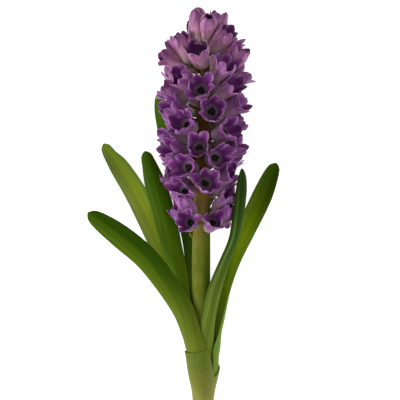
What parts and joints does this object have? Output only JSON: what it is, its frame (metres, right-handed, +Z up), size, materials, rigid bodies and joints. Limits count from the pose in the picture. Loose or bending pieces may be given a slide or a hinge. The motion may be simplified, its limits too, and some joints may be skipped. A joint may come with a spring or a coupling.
{
  "type": "hyacinth flower",
  "caption": "Cut hyacinth lying on its back: thick stem with a dense spike of funnel-shaped florets, strap leaves from its foot and a pale sheath round them.",
  "frame": {"origin": "middle of the footprint, on the surface that the flower lies on", "axes": "+Y along the flower stem from the cut to the top bud, +Z up from the surface, +X to the right seen from above"},
  "size_m": [0.1281, 0.2561, 0.0626],
  "materials": {
    "stem": "smooth, faintly waxy",
    "sheath": "smooth, thin and fibrous",
    "leaf": "satin, faintly ribbed lengthwise",
    "petal": "soft satin, waxy",
    "bud": "soft satin, waxy"
  },
  "bodies": {
    "root": {"scape": "stem", "sheath": "sheath", "leaf_front_left": "leaf", "leaf_far_left": "leaf", "leaf_inner_left": "leaf", "leaf_inner_right": "leaf", "leaf_far_right": "leaf", "leaf_back": "leaf", "floret_01": "petal", "floret_02": "petal", "floret_03": "petal", "floret_04": "petal", "floret_05": "petal", "floret_06": "petal", "floret_07": "petal", "floret_08": "petal", "floret_09": "petal", "floret_10": "petal", "floret_11": "petal", "floret_12": "petal", "floret_13": "petal", "floret_14": "petal", "floret_15": "petal", "floret_16": "petal", "floret_17": "petal", "floret_18": "petal", "floret_19": "petal", "floret_20": "petal", "floret_21": "petal", "floret_22": "petal", "floret_23": "petal", "floret_24": "petal", "floret_25": "petal", "floret_26": "petal", "floret_27": "petal", "floret_28": "petal", "floret_29": "petal", "floret_30": "petal", "floret_31": "petal", "floret_32": "petal", "floret_33": "petal", "floret_34": "petal", "floret_35": "petal", "floret_36": "petal", "floret_37": "petal", "floret_38": "petal", "floret_39": "petal", "floret_40": "petal", "floret_41": "petal", "floret_42": "petal", "floret_43": "petal", "floret_44": "petal", "floret_45": "petal", "floret_46": "petal", "floret_47": "petal", "floret_48": "petal", "floret_49": "petal", "floret_50": "petal", "floret_51": "petal", "crown": "bud"}
  },
  "joints": []
}
